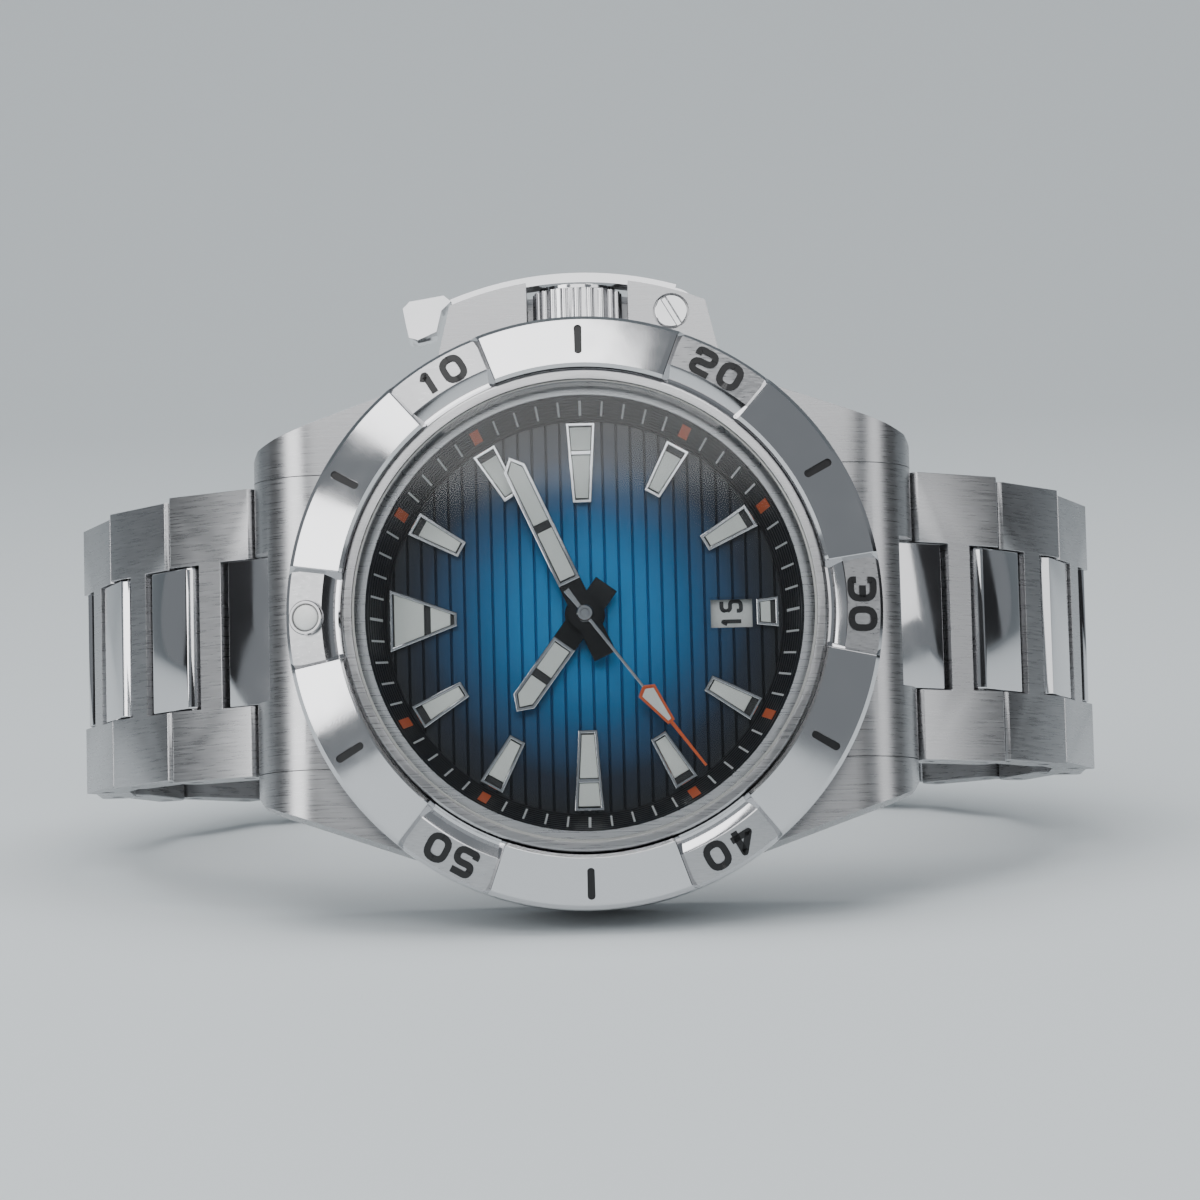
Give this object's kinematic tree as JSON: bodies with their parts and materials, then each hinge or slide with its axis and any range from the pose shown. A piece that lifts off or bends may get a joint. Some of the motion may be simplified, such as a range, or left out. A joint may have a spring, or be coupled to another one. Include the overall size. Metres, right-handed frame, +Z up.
{
  "type": "wristwatch",
  "caption": "Round steel diver's wristwatch with blue grooved dial, rotating bezel with raised segments, crown guard with locking lever and link bracelet closed by a folding clasp.",
  "frame": {"origin": "middle of the space the watch takes up, on the surface it lies on", "axes": "+X towards the six o'clock side of the bracelet loop, -Y out of the dial (leaning back by 14 degrees), +Z up towards the crown; the watch lies on its nine o'clock side"},
  "size_m": [0.0794, 0.0628, 0.0473],
  "materials": {
    "steel_brushed": "straight brushed grain",
    "steel_polished": "mirror polish",
    "sapphire": "clear, polished",
    "dial_blue": "blue in the middle fading to black at the edge, sunburst lacquer over straight grooves",
    "black_ring": "black with fine concentric grooves",
    "lume": "pale grey-green luminous paint",
    "orange": "orange lacquer",
    "brass": "satin plated",
    "nylon": "moulded, satin",
    "rubber": "smooth",
    "movement_steel": "circular graining",
    "blued_steel": "heat-blued"
  },
  "bodies": {
    "case": {"mid_case": "steel_brushed", "case_back": "steel_brushed", "case_back_gasket": "rubber", "bezel_click_spring": "brass", "crystal": "sapphire", "crystal_gasket": "nylon", "chapter_ring": "black_ring", "dial": "dial_blue", "hour_markers": "steel_polished", "crown_tube": "steel_polished", "crown_guard": "steel_brushed", "guard_screws": "movement_steel", "lever_pivot_screw": "steel_polished", "movement_holder": "nylon", "mainplate": "movement_steel", "train_bridge": "movement_steel", "balance_cock": "movement_steel", "lug_spring_bars": "movement_steel", "end_link_12": "steel_brushed", "end_link_6": "steel_brushed"},
    "bezel": {"bezel": "steel_polished", "bezel_pearl": "lume"},
    "date": {"date_ring": "nylon"},
    "hours": {"hour_hand": "steel_polished", "hour_wheel": "brass"},
    "minutes": {"minute_hand": "steel_polished", "cannon_pinion": "movement_steel", "centre_wheel": "brass"},
    "seconds": {"seconds_hand": "orange", "fourth_wheel": "brass"},
    "barrel": {"barrel": "brass"},
    "third_wheel": {"third_wheel": "brass"},
    "escape_wheel": {"escape_wheel": "movement_steel"},
    "pallet_fork": {"pallet_fork": "movement_steel"},
    "balance": {"balance_wheel": "brass", "hairspring": "blued_steel"},
    "rotor": {"rotor": "brass"},
    "minute_wheel": {"minute_wheel": "brass"},
    "lock_lever": {"lock_lever": "steel_polished"},
    "stem_slide": {"setting_lever": "movement_steel"},
    "crown": {"crown": "steel_polished", "winding_stem": "movement_steel"},
    "link_12_1": {"link_12_1": "steel_brushed"},
    "link_12_2": {"link_12_2": "steel_brushed"},
    "link_12_3": {"link_12_3": "steel_brushed"},
    "link_12_4": {"link_12_4": "steel_brushed"},
    "link_12_5": {"link_12_5": "steel_brushed"},
    "link_12_6": {"link_12_6": "steel_brushed"},
    "link_12_7": {"link_12_7": "steel_brushed"},
    "link_6_1": {"link_6_1": "steel_brushed"},
    "link_6_2": {"link_6_2": "steel_brushed"},
    "link_6_3": {"link_6_3": "steel_brushed"},
    "link_6_4": {"link_6_4": "steel_brushed"},
    "link_6_5": {"link_6_5": "steel_brushed"},
    "link_6_6": {"link_6_6": "steel_brushed"},
    "link_6_7": {"link_6_7": "steel_brushed"},
    "clasp_inner_blade": {"clasp_inner_blade": "steel_brushed"},
    "clasp_outer_blade": {"clasp_outer_blade": "steel_brushed"},
    "clasp_cover": {"clasp_cover": "steel_brushed"},
    "safety_flap": {"safety_flap": "steel_brushed"}
  },
  "joints": [
    {"name": "bezel_turn", "type": "hinge", "parent": "case", "child": "bezel", "pos_m": [0, -0.02183, 0.02217], "axis": [0, -0.9693, 0.2457], "continuous": true},
    {"name": "seconds_turn", "type": "hinge", "parent": "case", "child": "seconds", "pos_m": [0, -0.02183, 0.02217], "axis": [0, 0.9693, -0.2457], "continuous": true},
    {"name": "minutes_turn", "type": "hinge", "parent": "case", "child": "minutes", "pos_m": [0, -0.02183, 0.02217], "axis": [0, 0.9693, -0.2457], "continuous": true},
    {"name": "hours_turn", "type": "hinge", "parent": "case", "child": "hours", "pos_m": [0, -0.02183, 0.02217], "axis": [0, 0.9693, -0.2457], "continuous": true},
    {"name": "minute_wheel_turn", "type": "hinge", "parent": "case", "child": "minute_wheel", "pos_m": [0.00282, -0.02158, 0.02316], "axis": [0, 0.9693, -0.2457], "continuous": true},
    {"name": "third_turn", "type": "hinge", "parent": "case", "child": "third_wheel", "pos_m": [0.00063, -0.02096, 0.0256], "axis": [0, 0.9693, -0.2457], "continuous": true},
    {"name": "escape_turn", "type": "hinge", "parent": "case", "child": "escape_wheel", "pos_m": [-0.0036, -0.02183, 0.02217], "axis": [0, 0.9693, -0.2457], "continuous": true},
    {"name": "barrel_turn", "type": "hinge", "parent": "case", "child": "barrel", "pos_m": [0.00361, -0.0231, 0.01717], "axis": [0, 0.9693, -0.2457], "continuous": true},
    {"name": "pallet_rock", "type": "hinge", "parent": "case", "child": "pallet_fork", "pos_m": [-0.00655, -0.02183, 0.02217], "axis": [0, -0.9693, 0.2457], "range_deg": [-1, 1]},
    {"name": "balance_swing", "type": "hinge", "parent": "case", "child": "balance", "pos_m": [-0.0092, -0.02183, 0.02217], "axis": [0, -0.9693, 0.2457], "range_deg": [-270, 270]},
    {"name": "rotor_turn", "type": "hinge", "parent": "case", "child": "rotor", "pos_m": [0, -0.02183, 0.02217], "axis": [0, -0.9693, 0.2457], "continuous": true},
    {"name": "date_turn", "type": "hinge", "parent": "case", "child": "date", "pos_m": [0, -0.02183, 0.02217], "axis": [0, 0.9693, -0.2457], "continuous": true},
    {"name": "lever_open", "type": "hinge", "parent": "case", "child": "lock_lever", "pos_m": [0.007, -0.01625, 0.0442], "axis": [0, 0.9693, -0.2457], "range_deg": [0, 55]},
    {"name": "crown_pull", "type": "slide", "parent": "case", "child": "stem_slide", "axis": [0, 0.2457, 0.9693], "range_m": [0, 0.002]},
    {"name": "crown_turn", "type": "hinge", "parent": "stem_slide", "child": "crown", "pos_m": [0, -0.01931, 0.02153], "axis": [0, 0.2457, 0.9693], "continuous": true},
    {"name": "link_12_1_swing", "type": "hinge", "parent": "case", "child": "link_12_1", "pos_m": [-0.023, -0.01718, 0.02099], "axis": [0, 0.2457, 0.9693], "range_deg": [0, 18]},
    {"name": "link_12_2_swing", "type": "hinge", "parent": "link_12_1", "child": "link_12_2", "pos_m": [-0.02978, -0.01307, 0.01995], "axis": [0, 0.2457, 0.9693], "range_deg": [0, 18]},
    {"name": "link_12_3_swing", "type": "hinge", "parent": "link_12_2", "child": "link_12_3", "pos_m": [-0.03493, -0.00713, 0.01844], "axis": [0, 0.2457, 0.9693], "range_deg": [0, 18]},
    {"name": "link_12_4_swing", "type": "hinge", "parent": "link_12_3", "child": "link_12_4", "pos_m": [-0.03792, 0.00006, 0.01662], "axis": [0, 0.2457, 0.9693], "range_deg": [0, 22]},
    {"name": "link_12_5_swing", "type": "hinge", "parent": "link_12_4", "child": "link_12_5", "pos_m": [-0.03792, 0.00782, 0.01465], "axis": [0, 0.2457, 0.9693], "range_deg": [0, 24]},
    {"name": "link_12_6_swing", "type": "hinge", "parent": "link_12_5", "child": "link_12_6", "pos_m": [-0.03467, 0.0149, 0.01286], "axis": [0, 0.2457, 0.9693], "range_deg": [0, 24]},
    {"name": "link_12_7_swing", "type": "hinge", "parent": "link_12_6", "child": "link_12_7", "pos_m": [-0.02872, 0.02009, 0.01154], "axis": [0, 0.2457, 0.9693], "range_deg": [0, 18]},
    {"name": "link_6_1_swing", "type": "hinge", "parent": "case", "child": "link_6_1", "pos_m": [0.023, -0.01718, 0.02099], "axis": [0, -0.2457, -0.9693], "range_deg": [0, 18]},
    {"name": "link_6_2_swing", "type": "hinge", "parent": "link_6_1", "child": "link_6_2", "pos_m": [0.02978, -0.01307, 0.01995], "axis": [0, -0.2457, -0.9693], "range_deg": [0, 18]},
    {"name": "link_6_3_swing", "type": "hinge", "parent": "link_6_2", "child": "link_6_3", "pos_m": [0.03493, -0.00713, 0.01844], "axis": [0, -0.2457, -0.9693], "range_deg": [0, 18]},
    {"name": "link_6_4_swing", "type": "hinge", "parent": "link_6_3", "child": "link_6_4", "pos_m": [0.03792, 0.00006, 0.01662], "axis": [0, -0.2457, -0.9693], "range_deg": [0, 22]},
    {"name": "link_6_5_swing", "type": "hinge", "parent": "link_6_4", "child": "link_6_5", "pos_m": [0.03792, 0.00782, 0.01465], "axis": [0, -0.2457, -0.9693], "range_deg": [0, 24]},
    {"name": "link_6_6_swing", "type": "hinge", "parent": "link_6_5", "child": "link_6_6", "pos_m": [0.03467, 0.0149, 0.01286], "axis": [0, -0.2457, -0.9693], "range_deg": [0, 24]},
    {"name": "link_6_7_swing", "type": "hinge", "parent": "link_6_6", "child": "link_6_7", "pos_m": [0.02872, 0.02009, 0.01154], "axis": [0, -0.2457, -0.9693], "range_deg": [0, 18]},
    {"name": "inner_blade_swing", "type": "hinge", "parent": "link_12_7", "child": "clasp_inner_blade", "pos_m": [-0.02142, 0.02325, 0.01074], "axis": [0, 0.2457, 0.9693], "range_deg": [0, 18]},
    {"name": "blade_unfold", "type": "hinge", "parent": "clasp_inner_blade", "child": "clasp_outer_blade", "pos_m": [0.01781, 0.02334, 0.01072], "axis": [0, -0.2457, -0.9693], "range_deg": [0, 30]},
    {"name": "cover_open", "type": "hinge", "parent": "clasp_outer_blade", "child": "clasp_cover", "pos_m": [-0.01671, 0.02397, 0.01056], "axis": [0, 0.2457, 0.9693], "range_deg": [0, 42]},
    {"name": "flap_open", "type": "hinge", "parent": "clasp_cover", "child": "safety_flap", "pos_m": [-0.00701, 0.02858, 0.00939], "axis": [0, -0.2457, -0.9693], "range_deg": [0, 90]}
  ],
  "couplings": [
    {"joint": "minutes_turn", "follows": "seconds_turn", "ratio": 0.016667},
    {"joint": "hours_turn", "follows": "seconds_turn", "ratio": 0.0013889},
    {"joint": "minute_wheel_turn", "follows": "seconds_turn", "ratio": -0.0055556},
    {"joint": "third_turn", "follows": "seconds_turn", "ratio": -0.13333},
    {"joint": "escape_turn", "follows": "seconds_turn", "ratio": -9},
    {"joint": "barrel_turn", "follows": "seconds_turn", "ratio": -0.0027778},
    {"joint": "crown_pull", "follows": "lever_open", "m_per_rad": 0.0020835}
  ]
}
